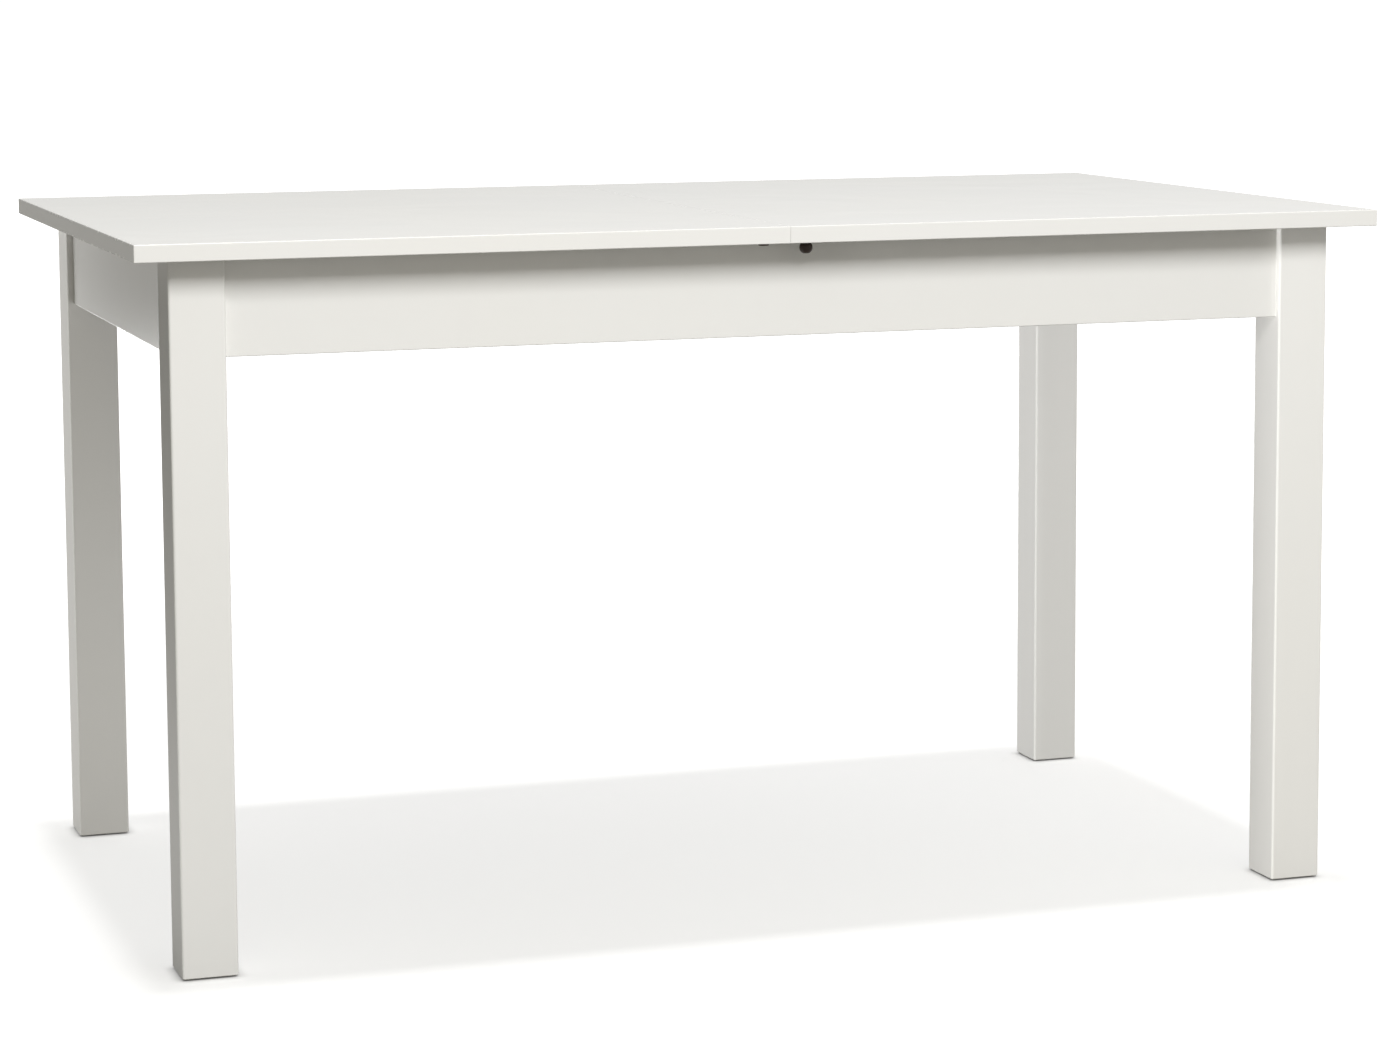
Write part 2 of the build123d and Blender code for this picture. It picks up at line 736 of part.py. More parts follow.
# ---- the stored leaf ----
def make_flap(z_low, z_high):
    """One flap of the leaf as it lies when stored."""
    board = block((-leaf_end_x, leaf_end_x), (stack_hinge_y, stack_free_y), (z_low, z_high))
    outer = board.edges().filter_by(Axis.X).group_by(Axis.Y)[-1]
    return fillet(outer, board_edge_radius)


def leaf_edge_dowels(z):
    """Dowels out of a flap's right edge, their own holes, and sockets in its left edge."""
    pins, holes = [], []
    for y in (stack_hinge_y + seam_dowel_inset, stack_free_y - seam_dowel_inset):
        root = (leaf_end_x - seam_dowel_depth, y, z)
        length = seam_dowel_depth + seam_dowel_reach
        pins.append(rounded_dowel(root, (1, 0, 0), length))
        start = (leaf_end_x + cut_margin, y, z)
        depth = seam_dowel_depth + cut_margin + hole_end_gap
        holes.append(rod(start, (-1, 0, 0), seam_dowel_radius + hole_gap, depth))
        holes.append(dowel_socket((-leaf_end_x, y, z), (1, 0, 0)))
    return pins, holes


def make_leaf_hinge(x):
    """A concealed hinge: a barrel in each flap's edge, and a link that joins them outside."""
    barrels, bores = [], []
    for z in (upper_flap_middle, lower_flap_middle):
        seat = (x, stack_hinge_y, z)
        barrel = rod(seat, (0, 1, 0), hinge_barrel_radius, hinge_barrel_length)
        slot_x = hinge_link_thickness / 2 + pin_gap
        barrel -= block(
            (x - slot_x, x + slot_x),
            (stack_hinge_y, stack_hinge_y + hinge_slot_depth),
            (z - hinge_barrel_radius, z + hinge_barrel_radius),
        )
        barrels.append(barrel)
        start = (x, stack_hinge_y - cut_margin, z)
        radius = hinge_barrel_radius + hole_gap
        bore_length = hinge_barrel_length + cut_margin + hole_end_gap
        bores.append(rod(start, (0, 1, 0), radius, bore_length))
    half = hinge_link_width / 2
    link_x = (x - hinge_link_thickness / 2, x + hinge_link_thickness / 2)
    link = block(
        link_x,
        (stack_hinge_y - hinge_link_reach, stack_hinge_y - fit_gap),
        (lower_flap_middle - half, upper_flap_middle + half),
    )
    for z in (upper_flap_middle, lower_flap_middle):
        tongue_end = stack_hinge_y + hinge_slot_depth - hinge_tongue_gap
        tongue_y = (stack_hinge_y - fit_gap, tongue_end)
        link += block(link_x, tongue_y, (z - half, z + half))
    return barrels, bores, link


def make_leaf_bracket(sx):
    """An angle on the leaf's underside, whose ear carries the pivot pin."""
    ear_out = leaf_end_x - leaf_bracket_inset
    y = (pivot_y - leaf_bracket_width / 2, pivot_y + leaf_bracket_width / 2)
    base = block(
        (sx * (ear_out - leaf_bracket_length), sx * ear_out),
        y,
        (stack_top, stack_top + leaf_bracket_thickness),
    )
    ear_in = (sx * (ear_out - leaf_bracket_thickness), pivot_y, pivot_z)
    ear = rod(ear_in, (sx, 0, 0), leaf_ear_radius, leaf_bracket_thickness)
    ear += block(
        (sx * (ear_out - leaf_bracket_thickness), sx * ear_out),
        (pivot_y - leaf_ear_radius, pivot_y + leaf_ear_radius),
        (stack_top, pivot_z),
    )
    return base + ear


def make_pivot_pin(sx):
    """A headed pin through the leaf's ear into the plate on the cross rail."""
    ear_in = leaf_end_x - leaf_bracket_inset - leaf_bracket_thickness
    head_start = (sx * (ear_in - pivot_pin_head), pivot_y, pivot_z)
    head = rod(head_start, (sx, 0, 0), pivot_pin_head_radius, pivot_pin_head)
    length = cross_rail_inner_x - fit_gap - ear_in + pivot_pin_head
    return head + rod(head_start, (sx, 0, 0), pivot_pin_radius, length)


def make_pivot_plate(sx):
    """A steel plate on the cross rail with the pivot's hole near its top."""
    top = frame_top - pivot_plate_top_gap
    plate = block(
        (sx * (cross_rail_inner_x - pivot_plate_thickness), sx * cross_rail_inner_x),
        (pivot_y - pivot_plate_width / 2, pivot_y + pivot_plate_width / 2),
        (top - pivot_plate_height, top),
    )
    plate = fillet(plate.edges().filter_by(Axis.X), pivot_plate_radius)
    start = (sx * (cross_rail_inner_x - 2 * pivot_plate_thickness), pivot_y, pivot_z)
    return plate - rod(start, (sx, 0, 0), pivot_pin_radius + pin_gap, 3 * pivot_plate_thickness)


def make_leaf():
    parts["leaf_flap_upper"] = make_flap(upper_flap_bottom, stack_top)
    parts["leaf_flap_lower"] = make_flap(stack_bottom, lower_flap_top)
    flaps = ["leaf_flap_upper", "leaf_flap_lower"]
    pins, barrels, links, bores = [], [], [], []
    for z in (upper_flap_middle, lower_flap_middle):
        more, holes = leaf_edge_dowels(z)
        pins += more
        bores += holes
    for x in (-hinge_spacing, 0, hinge_spacing):
        pair, holes, link = make_leaf_hinge(x)
        barrels += pair
        bores += holes
        links.append(link)
    for name in flaps:
        drill(name, bores)
    parts["leaf_edge_dowels"] = joined(pins)
    parts["leaf_hinge_barrels"] = joined(barrels)
    parts["leaf_hinge_links"] = joined(links)
    make_leaf_pivots()


def make_leaf_pivots():
    pins, bracket_seats, plate_seats = [], [], []
    plate_screw_z = frame_top - pivot_plate_top_gap - pivot_plate_screw_drop
    bracket_x = leaf_end_x - leaf_bracket_inset - leaf_bracket_screw_reach
    for side, sx in SIDES.items():
        pin = make_pivot_pin(sx)
        pins.append(pin)
        start = (sx * (leaf_end_x - leaf_bracket_length), pivot_y, pivot_z)
        bore = rod(start, (sx, 0, 0), pivot_pin_radius + hole_gap, leaf_bracket_length)
        parts[f"leaf_pivot_bracket_{side}"] = make_leaf_bracket(sx) - bore
        parts[f"leaf_pivot_plate_{side}"] = make_pivot_plate(sx)
        bracket_top = stack_top + leaf_bracket_thickness
        plate_face = sx * (cross_rail_inner_x - pivot_plate_thickness)
        for step in (-1, 1):
            y = pivot_y + step * leaf_bracket_screw_step
            bracket_seats.append(((sx * bracket_x, y, bracket_top), (0, 0, -1)))
            y = pivot_y + step * pivot_plate_screw_step
            plate_seats.append(((plate_face, y, plate_screw_z), (sx, 0, 0)))
    parts["leaf_pivot_pins"] = joined(pins)
    brackets = [f"leaf_pivot_bracket_{side}" for side in SIDES]
    names = brackets + ["leaf_flap_upper"]
    fasten("frame_screws", names, bracket_seats, frame_screw)
    plates = [f"leaf_pivot_plate_{side}" for side in SIDES]
    names = plates + ["cross_rail_left", "cross_rail_right"]
    fasten("frame_screws", names, plate_seats, frame_screw)


# ---- the lock ----
def make_lock_hook():
    """A flat hook, parked along the right half; turned half round the front, it takes the peg."""
    z_low, z_high = lock_hook_bottom, lock_hook_top
    reach = lock_reach + lock_hook_tail
    half = lock_hook_width / 2
    x0 = lock_knob_x
    arm = block((x0, x0 + reach), (lock_y - half, lock_y + half), (z_low, z_high))
    arm = fillet(arm.edges().filter_by(Axis.Z).sort_by(Axis.X)[-2:], lock_hook_corner)
    arm += rod((x0, lock_y, z_low), (0, 0, 1), half, lock_hook_thickness)
    slot = lock_peg_radius + lock_slot_clearance
    peg_x = x0 + lock_reach
    low, high = z_low - cut_margin, z_high + cut_margin
    arm -= rod((peg_x, lock_y, low), (0, 0, 1), slot, high - low)
    mouth_y = (lock_y - half - cut_margin, lock_y)
    arm -= block((peg_x - slot, peg_x + slot), mouth_y, (low, high))
    return arm - rod((x0, lock_y, low), (0, 0, 1), lock_screw_radius + pin_gap, high - low)


def make_lock_knob():
    """A round knob, cut flat under the hook, with a well for the pivot screw's head."""
    middle = (lock_knob_x, lock_y, underside - lock_knob_drop)
    ball = Pos(*middle) * Sphere(lock_knob_radius)
    size = 3 * lock_knob_radius
    ball -= Pos(lock_knob_x, lock_y, lock_hook_bottom + size / 2) * Box(size, size, size)
    bore_start = (lock_knob_x, lock_y, middle[2] - size)
    ball -= rod(bore_start, (0, 0, 1), lock_screw_radius + pin_gap, 2 * size)
    well_top = lock_screw_seat()
    well = rod(
        (lock_knob_x, lock_y, well_top), (0, 0, -1), lock_screw_head_radius + pin_gap, size
    )
    return ball - well


def lock_screw_seat():
    """Height of the pivot screw's seat inside the knob."""
    return underside - lock_knob_drop - lock_screw_sink


def make_lock():
    parts["lock_hook"] = make_lock_hook()
    parts["lock_knob"] = make_lock_knob()
    seat_z = lock_screw_seat() - fit_gap
    seat = (lock_knob_x, lock_y, seat_z)
    length = underside - seat_z + lock_screw_depth
    sizes = (lock_screw_radius, length, lock_screw_head_radius, lock_screw_head)
    fasten("lock_pivot_screw", ["top_right"], [(seat, (0, 0, 1))], sizes)
    head_top = lock_hook_bottom - fit_gap
    peg_seat = (lock_peg_x, lock_y, head_top)
    length = underside - head_top + lock_screw_depth
    sizes = (lock_peg_radius, length, lock_peg_head_radius, lock_peg_head)
    fasten("lock_peg", ["top_left"], [(peg_seat, (0, 0, 1))], sizes)


make_legs()
make_aprons()
make_corner_joints()
make_slide_rails()
make_tops()
make_runners()
make_cross_rails()
make_leaf()
make_lock()

os.makedirs("parts", exist_ok=True)
for node, shape in parts.items():
    export_step(shape, f"parts/{node}.step")
print(len(parts), "nodes")
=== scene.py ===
"""The looks of the extendable dining table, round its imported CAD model. Metres, in the CAD's frame.

Every piece of the table is a CAD node and keeps its mesh. This script gives each one its material,
and adds the floor, the lights and the camera.
"""

import json
import math

import bpy
from mathutils import Matrix, Vector


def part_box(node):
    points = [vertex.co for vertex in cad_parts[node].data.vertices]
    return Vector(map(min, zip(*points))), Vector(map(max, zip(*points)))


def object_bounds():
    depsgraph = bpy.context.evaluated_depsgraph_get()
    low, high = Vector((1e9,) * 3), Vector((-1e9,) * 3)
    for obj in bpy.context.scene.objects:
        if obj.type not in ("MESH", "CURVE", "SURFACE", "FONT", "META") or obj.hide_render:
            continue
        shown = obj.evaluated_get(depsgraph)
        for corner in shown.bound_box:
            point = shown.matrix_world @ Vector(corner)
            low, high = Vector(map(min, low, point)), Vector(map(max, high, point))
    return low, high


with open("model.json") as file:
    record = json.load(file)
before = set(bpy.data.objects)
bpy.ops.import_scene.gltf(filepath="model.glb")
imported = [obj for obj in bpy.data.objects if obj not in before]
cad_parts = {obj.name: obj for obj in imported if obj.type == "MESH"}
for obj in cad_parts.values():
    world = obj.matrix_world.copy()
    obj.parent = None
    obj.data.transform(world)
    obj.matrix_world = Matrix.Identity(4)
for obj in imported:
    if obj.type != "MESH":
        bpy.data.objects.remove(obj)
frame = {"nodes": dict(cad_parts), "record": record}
cad_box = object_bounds()
nodes = frame["nodes"]

MM = 0.001

# ---- colours, linear ----
WHITE_TOP = (0.80, 0.795, 0.78)
WHITE_LEG = (0.79, 0.785, 0.767)
WHITE_RAIL = (0.70, 0.69, 0.66)
CHIP_LIGHT = (0.50, 0.36, 0.21)
CHIP_DARK = (0.24, 0.15, 0.08)
BEECH_LIGHT = (0.58, 0.37, 0.19)
BEECH_DARK = (0.40, 0.225, 0.10)
BEECH_PORE = (0.20, 0.10, 0.045)
NYLON = (0.78, 0.76, 0.68)
GLIDE_GREY = (0.055, 0.053, 0.05)
KNOB_BROWN = (0.030, 0.016, 0.011)
BRONZE = (0.060, 0.040, 0.028)
ALUMINIUM = (0.72, 0.73, 0.74)
ZINC = (0.66, 0.67, 0.68)
ZINC_WARM = (0.62, 0.60, 0.50)
BRASS = (0.62, 0.42, 0.16)

# ---- tints, which multiply a colour ----
WARM_TINT = (1.0, 0.985, 0.95)
DUST_TINT = (0.955, 0.955, 0.955)
WORN_TINT = (0.86, 0.84, 0.80)
GRIME_TINT = (0.55, 0.55, 0.55)
PALE_TINT = (1.18, 1.18, 1.18)

# ---- foil: roughness, and the depths at which board shows in a cut ----
TOP_ROUGHNESS = 0.25
APRON_ROUGHNESS = 0.40
LEG_ROUGHNESS = 0.50
RAIL_ROUGHNESS = 0.50
FOIL_DEPTH = 1.6 * MM
BOARD_DEPTH = 2.4 * MM
WORN_WIDTH = 3.5 * MM  # of the strip along an edge that handling wears
ALONG_STRETCH = 0.35  # of the foil's relief, along the piece

# ---- the floor ----
FLOOR_HALF = 60.0
# reach of the painted contact shadow that darkens the floor's glow round each foot
PAINTED_CONTACT_SHADOW_REACH = 0.012
FLOOR_AS_LIGHT = (0.46, 0.452, 0.435)
FLOOR_AS_SEEN = (0.70, 0.70, 0.70)
# the floor's glow is seen only by the camera; it is dimmer near the table, which paints shade round
# the table
FLOOR_NEAR_GLOW_PAINTED_SHADE = 0.61
FLOOR_FAR_GLOW = 1.0
FLOOR_FADE = (1.1, 2.6)

# ---- the surround ----
BACKDROP_SEEN = 1.05
FRONT_LIGHT = (0.58, 0.555, 0.46)
BACK_LIGHT = (0.64, 0.64, 0.63)
LEFT_LIGHT = (0.03, 0.03, 0.02)
RIGHT_LIGHT = (0.74, 0.74, 0.74)
FRONT_TO_BACK = (-0.5, 0.5)
MIDDLE_TO_RIGHT = (0.1, 0.6)
LEFT_TO_MIDDLE = (-0.75, 0.08)

# ---- the lamps; azimuth 0 is in front of the table, 90 to its right ----
KEY_DISTANCE = 4.4
KEY_AZIMUTH = -2
KEY_ELEVATION = 32
KEY_AIM = 0.8  # of the table's height
KEY_SIZE = 1.5
KEY_WATTS = 145.5
OVERHEAD_LIGHT = 0.80
OVERHEAD_SPREAD = 3.5
FILL_SIZE = (0.6, 0.4)
RIGHT_END = ["apron_right", "leg_front_right", "leg_back_right", "top_right"]
BACK = ["apron_back", "leg_back_left", "top_left", "top_right"]
# name, distance, azimuth, height as a share of the table's, watts, and what it lights
FILLS = [
    ("left_fill", 2.8, -105, 0.4, 22.5, ["leg_back_left"]),
    ("end_fill", 1.2, -128, 0.4, 4.6, ["apron_left"]),
    ("edge_fill", 2.8, -100, 0.7, 8.5, ["top_left"]),
    ("low_left_fill", 1.05, -76, 0.03, 0.95, ["leg_front_left"]),
    ("inner_fill", 3.0, -78, 0.4, 82.0, ["leg_back_right", "leg_front_right"]),
    ("back_left_fill", 3.2, 5, 0.3, 14.0, ["leg_back_left"]),
    ("low_back_fill", 0.5, -66, 0.05, 0.85, ["leg_back_left"]),
    ("back_right_fill", 3.2, 10, 0.3, 64.0, ["leg_back_right"]),
    ("right_end_fill", 3.0, 97, 0.4, 12.0, RIGHT_END),
    ("behind_fill", 3.4, 180, 0.4, 30.0, BACK),
    ("behind_right_fill", 3.4, 160, 0.4, 30.0, ["leg_back_right"]),
]

# ---- the camera ----
CAMERA_PLACE = (-1.290, -3.968, 1.021)
CAMERA_YAW, CAMERA_PITCH, CAMERA_ROLL = 18.44, -6.49, -0.294
CAMERA_LENS = 94.0
CAMERA_SENSOR = 36.0
CAMERA_SHIFT = -0.10

# ---- the numbers of a colour Mix node's sockets ----
MIX_FIRST, MIX_SECOND, MIX_RESULT = 6, 7, 2


def tinted(colour, tint):
    return tuple(value * share for value, share in zip(colour, tint))


class Shader:
    """A node material under construction: a Principled shader and the object's coordinates."""

    def __init__(self, name):
        self.material = bpy.data.materials.new(name)
        self.material.use_nodes = True
        self.tree = self.material.node_tree
        self.surface = self.tree.nodes["Principled BSDF"]
        self.place = self.node("ShaderNodeTexCoord").outputs["Object"]

    def node(self, kind, **settings):
        made = self.tree.nodes.new(kind)
        for key, value in settings.items():
            setattr(made, key, value)
        return made

    def put(self, socket, value):
        """Sets a socket to a number or colour, or links it to another node's output."""
        if isinstance(value, bpy.types.NodeSocket):
            self.tree.links.new(value, socket)
        elif isinstance(value, tuple) and len(value) == 3 and socket.type == "RGBA":
            socket.default_value = (*value, 1.0)
        else:
            socket.default_value = value

    def set(self, **values):
        """Sets the Principled shader's sockets; an underscore in a name stands for a space."""
        for key, value in values.items():
            self.put(self.surface.inputs[key.replace("_", " ")], value)

    def math(self, operation, *values, clamp=False):
        made = self.node("ShaderNodeMath", operation=operation, use_clamp=clamp)
        for socket, value in zip(made.inputs, values):
            self.put(socket, value)
        return made.outputs[0]

    def stretched(self, x, y, z):
        """The object's coordinates times a scale for each axis."""
        made = self.node("ShaderNodeVectorMath", operation="MULTIPLY")
        self.put(made.inputs[0], self.place)
        made.inputs[1].default_value = (x, y, z)
        return made.outputs[0]

    def noise(self, scale, detail=3.0, rough=0.5, place=None, twist=0.0):
        made = self.node("ShaderNodeTexNoise")
        self.put(made.inputs["Vector"], place or self.place)
        made.inputs["Scale"].default_value = scale
        made.inputs["Detail"].default_value = detail
        made.inputs["Roughness"].default_value = rough
        made.inputs["Distortion"].default_value = twist
        return made.outputs["Fac"]

    def cells(self, scale, place=None, output="Color"):
        made = self.node("ShaderNodeTexVoronoi")
        self.put(made.inputs["Vector"], place or self.place)
        made.inputs["Scale"].default_value = scale
        return made.outputs[output]

    def spread(self, value, low, high, to_low=0.0, to_high=1.0):
        """Maps low..high to to_low..to_high, smoothly and without going past either."""
        made = self.node("ShaderNodeMapRange", interpolation_type="SMOOTHSTEP")
        for socket, number in zip(made.inputs, (value, low, high, to_low, to_high)):
            self.put(socket, number)
        return made.outputs[0]

    def mix(self, share, first, second):
        made = self.node("ShaderNodeMix", data_type="RGBA")
        self.put(made.inputs[0], share)
        self.put(made.inputs[MIX_FIRST], first)
        self.put(made.inputs[MIX_SECOND], second)
        return made.outputs[MIX_RESULT]

    def bump(self, height, strength, distance, under=None):
        made = self.node("ShaderNodeBump")
        made.inputs["Strength"].default_value = strength
        made.inputs["Distance"].default_value = distance
        self.put(made.inputs["Height"], height)
        if under is not None:
            self.put(made.inputs["Normal"], under)
        return made.outputs["Normal"]

    def axes(self, vector=None):
        made = self.node("ShaderNodeSeparateXYZ")
        self.put(made.inputs[0], vector or self.place)
        return made.outputs

    def depths(self, node):
        """How far a point lies inside a CAD node's box, from the nearest faces along X, Y and Z."""
        low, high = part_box(node)
        found = []
        for axis, value in enumerate(self.axes()):
            middle, half = (low[axis] + high[axis]) / 2, (high[axis] - low[axis]) / 2
            off = self.math("ABSOLUTE", self.math("SUBTRACT", value, middle))
            found.append(self.math("SUBTRACT", half, off))
        return found

    def skin_and_edge(self, node):
        """Two distances: in from the box's skin, and along the skin to its nearest edge."""
        x, y, z = self.depths(node)
        lesser, greater = self.math("MINIMUM", x, y), self.math("MAXIMUM", x, y)
        skin = self.math("MINIMUM", lesser, z)
        edge = self.math("MAXIMUM", lesser, self.math("MINIMUM", greater, z))
        return skin, edge


# ---- wood-based board under foil ----
def chipboard(shader):
    """The colour of a cut face of particleboard: flat chips of light and dark wood."""
    chips = shader.cells(420, shader.stretched(1.0, 1.0, 2.2))
    tone = shader.axes(chips)[0]
    grit = shader.noise(900, detail=4)
    tone = shader.math("MULTIPLY", tone, shader.spread(grit, 0.3, 0.7, to_low=0.6))
    return shader.mix(tone, CHIP_DARK, CHIP_LIGHT)


def foil_board(name, node, white, roughness, grain):
    """White foil on board. Cut and drilled faces inside the box show the bare board.

    grain scales the coordinates, so that the fine relief runs along the piece.
    """
    shader = Shader(name)
    skin, edge = shader.skin_and_edge(node)

    cloudy = shader.noise(2.3, detail=2)
    mottled = shader.noise(34, detail=4)
    cloud = shader.spread(cloudy, 0.3, 0.7, to_high=0.35)
    colour = shader.mix(cloud, white, tinted(white, WARM_TINT))
    dust = shader.spread(mottled, 0.45, 0.75, to_high=0.12)
    colour = shader.mix(dust, colour, tinted(white, DUST_TINT))

    # handling marks gather along the edges
    patchy = shader.spread(shader.noise(60, detail=5, rough=0.65), 0.45, 0.72)
    near_edge = shader.spread(edge, 0.0, WORN_WIDTH, 1.0, 0.0)
    rubbed = shader.math("MULTIPLY", near_edge, patchy)
    wear = shader.math("MULTIPLY", rubbed, 0.14)
    colour = shader.mix(wear, colour, tinted(white, WORN_TINT))

    bare = shader.spread(skin, FOIL_DEPTH, BOARD_DEPTH)
    colour = shader.mix(bare, colour, chipboard(shader))

    smeared = shader.noise(5, twist=0.6)
    smudge = shader.spread(smeared, 0.35, 0.75, to_low=-0.01, to_high=0.02)
    rough = shader.math("ADD", smudge, roughness)
    rough = shader.math("ADD", rough, shader.math("MULTIPLY", rubbed, 0.10))
    rough = shader.math("ADD", rough, shader.math("MULTIPLY", bare, 0.40), clamp=True)

    peel = shader.noise(260, detail=2, place=shader.stretched(*grain))
    fine = shader.noise(2400, detail=2, place=shader.stretched(*grain))
    relief = shader.bump(peel, strength=0.05, distance=0.03 * MM)
    relief = shader.bump(fine, strength=0.05, distance=0.02 * MM, under=relief)
    shader.set(Base_Color=colour, Roughness=rough, Normal=relief)
    shader.set(IOR=1.48, Specular_IOR_Level=0.42)
    return shader.material


# ---- solid wood ----
def beech(name, along):
    """Planed beech with its rays and pores; along is the axis that the grain follows."""
    shader = Shader(name)
    lengthwise = [1.0, 1.0, 1.0]
    lengthwise[along] = 0.06
    place = shader.stretched(*lengthwise)
    bands = shader.noise(75, detail=4, rough=0.55, place=place, twist=0.8)
    colour = shader.mix(shader.spread(bands, 0.3, 0.7), BEECH_DARK, BEECH_LIGHT)
    rays = shader.spread(shader.noise(620, detail=2, place=place), 0.60, 0.70)
    colour = shader.mix(shader.math("MULTIPLY", rays, 0.55), colour, BEECH_PORE)
    broad = shader.noise(6, detail=2)
    colour = shader.mix(shader.spread(broad, 0.3, 0.7, to_high=0.25), colour, BEECH_DARK)
    rough = shader.spread(bands, 0.2, 0.8, to_low=0.62, to_high=0.48)
    fibres = shader.noise(1500, detail=2, place=place)
    relief = shader.bump(rays, strength=0.25, distance=0.15 * MM)
    relief = shader.bump(fibres, strength=0.15, distance=0.06 * MM, under=relief)
    shader.set(Base_Color=colour, Roughness=rough, Normal=relief)
    shader.set(IOR=1.5, Specular_IOR_Level=0.35)
    return shader.material


# ---- metals ----
def metal(name, colour, other, roughness, along=None, grain=900):
    """Metal with patches of a second tint; along is the axis that its drawing marks follow."""
    shader = Shader(name)
    patches = shader.spread(shader.noise(55, detail=4, rough=0.6), 0.35, 0.65)
    tint = shader.mix(patches, colour, other)
    scale = [1.0, 1.0, 1.0]
    if along is not None:
        scale[along] = 0.015
    lines = shader.noise(grain, rough=0.6, place=shader.stretched(*scale))
    grime = shader.spread(shader.noise(140, detail=5, rough=0.7), 0.5, 0.8)
    dirt = shader.math("MULTIPLY", grime, 0.35)
    tint = shader.mix(dirt, tint, tinted(colour, GRIME_TINT))
    drawn = shader.spread(lines, 0.3, 0.7, to_low=-0.06, to_high=0.08)
    rough = shader.math("ADD", drawn, roughness)
    rough = shader.math("ADD", rough, shader.math("MULTIPLY", grime, 0.12), clamp=True)
    relief = shader.bump(lines, strength=0.18, distance=0.04 * MM)
    shader.set(Base_Color=tint, Roughness=rough, Normal=relief)
    shader.set(Metallic=1.0)
    return shader.material


# ---- plastics ----
def plastic(name, colour, roughness, soft=0.0, grain=700):
    """Moulded plastic with a fine spark-eroded skin and scuffs; soft lets light into the skin."""
    shader = Shader(name)
    cloudy = shader.spread(shader.noise(90), 0.3, 0.7)
    tint = shader.mix(cloudy, colour, tinted(colour, PALE_TINT))
    scuffs = shader.spread(shader.noise(320, detail=5, rough=0.7, twist=1.5), 0.60, 0.75)
    scuffed = tuple(value + (0.5 - value) * 0.25 for value in colour)
    tint = shader.mix(shader.math("MULTIPLY", scuffs, 0.30), tint, scuffed)
    rough = shader.math("ADD", shader.math("MULTIPLY", scuffs, 0.15), roughness)
    skin = shader.cells(grain, output="Distance")
    relief = shader.bump(skin, strength=0.20, distance=0.05 * MM)
    shader.set(Base_Color=tint, Roughness=rough, Normal=relief)
    shader.set(IOR=1.5, Subsurface_Weight=soft, Subsurface_Scale=1.2 * MM)
    return shader.material


# ---- a material for every node ----
def dress(name, material):
    """Gives one CAD node its material in every slot."""
    piece = nodes[name]
    for slot in piece.material_slots:
        slot.material = material


def dress_boards():
    """Foil-covered boards, each with its own material, because it reads its own box."""
    along_x = (ALONG_STRETCH, 1.0, 1.0)
    along_y = (1.0, ALONG_STRETCH, 1.0)
    upright = (1.0, 1.0, ALONG_STRETCH)

    def cover(name, white, roughness, grain):
        dress(name, foil_board(name + "_foil", name, white, roughness, grain))

    for name in nodes:
        if name.startswith(("top_", "leaf_flap_")):
            cover(name, WHITE_TOP, TOP_ROUGHNESS, along_x)
        elif name.startswith(("leg_front_", "leg_back_")):
            cover(name, WHITE_LEG, LEG_ROUGHNESS, upright)
        elif name in ("apron_front", "apron_back"):
            cover(name, WHITE_LEG, APRON_ROUGHNESS, along_x)
        elif name in ("apron_left", "apron_right"):
            cover(name, WHITE_LEG, APRON_ROUGHNESS, along_y)
        elif name in ("cross_rail_left", "cross_rail_right"):
            cover(name, WHITE_RAIL, RAIL_ROUGHNESS, along_y)
        elif name == "leaf_rest_rail":
            cover(name, WHITE_RAIL, RAIL_ROUGHNESS, along_x)


def dress_small_pieces():
    """One material for all the pieces that the record makes of the same stuff."""
    along_x = 0
    shared = {
        "beech": beech("beech", along_x),
        "beech_dowel": beech("beech_dowel", along_x),
        "white_nylon": plastic("white_nylon", NYLON, 0.42, soft=0.25),
        "grey_plastic": plastic("grey_plastic", GLIDE_GREY, 0.55),
        "brown_plastic": plastic("brown_plastic", KNOB_BROWN, 0.38, grain=1400),
        "rail_aluminium": metal("rail_aluminium", ALUMINIUM, ALUMINIUM, 0.34, along_x, 1600),
        "bronzed_steel": metal("bronzed_steel", BRONZE, KNOB_BROWN, 0.45),
        "brass": metal("brass", BRASS, BRASS, 0.36),
        "zinc_steel": metal("zinc_steel", ZINC, ZINC_WARM, 0.36),
    }
    for part in frame["record"]["subparts"]:
        if part["material_slot"] in shared:
            dress(part["node"], shared[part["material_slot"]])


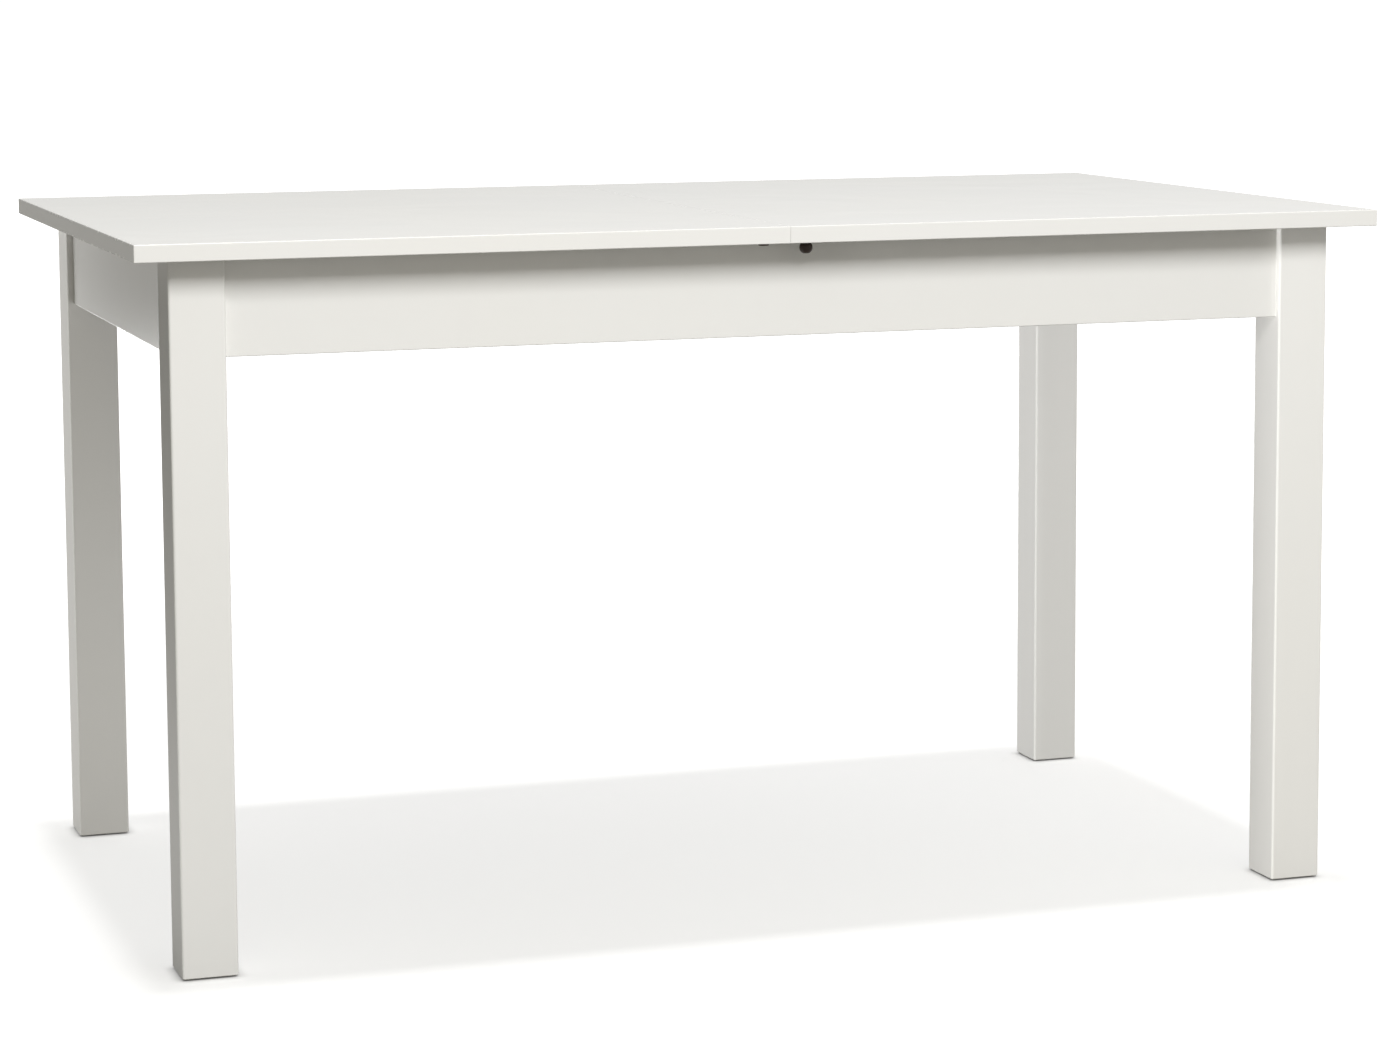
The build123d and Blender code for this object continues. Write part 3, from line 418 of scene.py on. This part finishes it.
def make_floor():
    """A pale floor, brighter to the camera than it is as a light, and clear from below."""
    corners = [(-FLOOR_HALF, -FLOOR_HALF, 0), (FLOOR_HALF, -FLOOR_HALF, 0)]
    corners += [(FLOOR_HALF, FLOOR_HALF, 0), (-FLOOR_HALF, FLOOR_HALF, 0)]
    mesh = bpy.data.meshes.new("floor")
    mesh.from_pydata(corners, [], [(0, 1, 2, 3)])
    floor = bpy.data.objects.new("floor", mesh)
    bpy.context.scene.collection.objects.link(floor)
    shader = Shader("floor_paint")
    seen = shader.node("ShaderNodeLightPath").outputs["Is Camera Ray"]
    paint = shader.mix(seen, FLOOR_AS_LIGHT, FLOOR_AS_SEEN)
    shader.set(Base_Color=paint, Roughness=0.9, Specular_IOR_Level=0.0)

    # the glow, which only the camera sees, grows with the distance from the table, so the floor near
    # the table is darker with painted shade, and it fades where a foot stands, a painted contact
    # shadow
    glow = shader.node("ShaderNodeEmission")
    away = shader.node("ShaderNodeVectorMath", operation="LENGTH")
    shader.put(away.inputs[0], shader.place)
    level = shader.spread(away.outputs["Value"], *FLOOR_FADE, FLOOR_NEAR_GLOW_PAINTED_SHADE, FLOOR_FAR_GLOW)
    # painted contact shadow: occlusion dims the floor's glow under and beside each foot
    painted_contact_shadow = shader.node("ShaderNodeAmbientOcclusion")
    painted_contact_shadow.inputs["Distance"].default_value = PAINTED_CONTACT_SHADOW_REACH
    level = shader.math("MULTIPLY", level, painted_contact_shadow.outputs["AO"])
    shader.put(glow.inputs["Strength"], shader.math("MULTIPLY", seen, level))
    both = shader.node("ShaderNodeAddShader")
    shader.put(both.inputs[0], shader.surface.outputs[0])
    shader.put(both.inputs[1], glow.outputs[0])

    one_sided = shader.node("ShaderNodeMixShader")
    below = shader.node("ShaderNodeNewGeometry").outputs["Backfacing"]
    clear = shader.node("ShaderNodeBsdfTransparent").outputs[0]
    for socket, value in zip(one_sided.inputs, (below, both.outputs[0], clear)):
        shader.put(socket, value)
    output = shader.tree.nodes["Material Output"]
    shader.put(output.inputs["Surface"], one_sided.outputs[0])
    mesh.materials.append(shader.material)


def make_world():
    """A surround that the camera sees as even white; as a light it depends on the direction."""
    world = bpy.data.worlds.new("studio")
    world.use_nodes = True
    bpy.context.scene.world = world
    tree = world.node_tree
    toward = tree.nodes.new("ShaderNodeSeparateXYZ")
    place = tree.nodes.new("ShaderNodeTexCoord").outputs["Generated"]
    tree.links.new(place, toward.inputs[0])

    def blend(axis, zone, first, second):
        """A colour that goes from first to second as the direction's share along an axis rises."""
        share = tree.nodes.new("ShaderNodeMapRange")
        share.interpolation_type = "SMOOTHSTEP"
        share.inputs["From Min"].default_value = zone[0]
        share.inputs["From Max"].default_value = zone[1]
        tree.links.new(toward.outputs[axis], share.inputs["Value"])
        mixed = tree.nodes.new("ShaderNodeMix")
        mixed.data_type = "RGBA"
        tree.links.new(share.outputs["Result"], mixed.inputs[0])
        for number, colour in ((MIX_FIRST, first), (MIX_SECOND, second)):
            if isinstance(colour, tuple):
                mixed.inputs[number].default_value = (*colour, 1.0)
            else:
                tree.links.new(colour, mixed.inputs[number])
        return mixed.outputs[MIX_RESULT]

    depth = blend("Y", FRONT_TO_BACK, FRONT_LIGHT, BACK_LIGHT)
    right = blend("X", MIDDLE_TO_RIGHT, depth, RIGHT_LIGHT)
    around = blend("X", LEFT_TO_MIDDLE, LEFT_LIGHT, right)
    lit = tree.nodes["Background"]
    tree.links.new(around, lit.inputs["Color"])
    seen = tree.nodes.new("ShaderNodeBackground")
    seen.inputs["Color"].default_value = (1.0, 1.0, 1.0, 1.0)
    seen.inputs["Strength"].default_value = BACKDROP_SEEN
    choice = tree.nodes.new("ShaderNodeMixShader")
    path = tree.nodes.new("ShaderNodeLightPath")
    tree.links.new(path.outputs["Is Camera Ray"], choice.inputs[0])
    tree.links.new(lit.outputs[0], choice.inputs[1])
    tree.links.new(seen.outputs[0], choice.inputs[2])
    tree.links.new(choice.outputs[0], tree.nodes["World Output"].inputs["Surface"])


def from_middle(distance, azimuth, elevation, height):
    """A point round the table, seen from its middle at the given height."""
    a, e = math.radians(azimuth), math.radians(elevation)
    flat = distance * math.cos(e)
    return (flat * math.sin(a), -flat * math.cos(a), height + distance * math.sin(e))


def make_lamp(name, place, target, width, height, watts):
    """A rectangular lamp that faces the target and isn't seen itself."""
    lamp = bpy.data.lights.new(name, "AREA")
    lamp.shape = "RECTANGLE"
    lamp.size = width
    lamp.size_y = height
    lamp.energy = watts
    made = bpy.data.objects.new(name, lamp)
    made.location = place
    made.visible_camera = False
    bpy.context.scene.collection.objects.link(made)
    toward = Vector(target) - made.location
    made.rotation_euler = toward.to_track_quat("-Z", "Y").to_euler()
    return made


def only_on(light, name, pieces):
    """Lets a light fall only on the given CAD nodes."""
    lit = bpy.data.collections.new(name)
    for piece in pieces:
        lit.objects.link(nodes[piece])
    light.light_linking.receiver_collection = lit


def make_overhead():
    """A distant lamp straight above, for a shadow on the floor with the table's own outline."""
    lamp = bpy.data.lights.new("overhead", "SUN")
    lamp.energy = OVERHEAD_LIGHT
    lamp.angle = math.radians(OVERHEAD_SPREAD)
    bpy.context.scene.collection.objects.link(bpy.data.objects.new("overhead", lamp))


def make_lights():
    """A large key in front, a distant lamp overhead, and fills that reach under the top."""
    high = cad_box[1].z
    place = from_middle(KEY_DISTANCE, KEY_AZIMUTH, KEY_ELEVATION, high)
    middle = (0.0, 0.0, high * KEY_AIM)
    key = make_lamp("key", place, middle, KEY_SIZE, KEY_SIZE, KEY_WATTS)
    only_on(key, "lit_by_key", [name for name in nodes if not name.startswith("leg_back_")])
    make_overhead()
    for name, distance, azimuth, share, watts, pieces in FILLS:
        low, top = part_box(pieces[0])
        target = ((low[0] + top[0]) / 2, (low[1] + top[1]) / 2, high * share)
        place = from_middle(distance, azimuth, 0, high * share)
        fill = make_lamp(name, place, target, *FILL_SIZE, watts)
        only_on(fill, "lit_by_" + name, pieces)


def make_camera():
    """The camera stands to the left of the table's middle and looks across it."""
    data = bpy.data.cameras.new("camera")
    data.lens = CAMERA_LENS
    data.sensor_width = CAMERA_SENSOR
    data.shift_y = CAMERA_SHIFT
    camera = bpy.data.objects.new("camera", data)
    camera.location = CAMERA_PLACE
    turned = Matrix.Rotation(math.radians(-CAMERA_YAW), 3, "Z")
    tilted = Matrix.Rotation(math.radians(90 + CAMERA_PITCH), 3, "X")
    rolled = Matrix.Rotation(math.radians(CAMERA_ROLL), 3, "Z")
    camera.rotation_euler = (turned @ tilted @ rolled).to_euler()
    bpy.context.scene.collection.objects.link(camera)
    bpy.context.scene.camera = camera


dress_boards()
dress_small_pieces()
make_floor()
make_world()
make_lights()
make_camera()

settings = bpy.context.scene.view_settings
settings.view_transform = "Standard"
settings.look = "None"
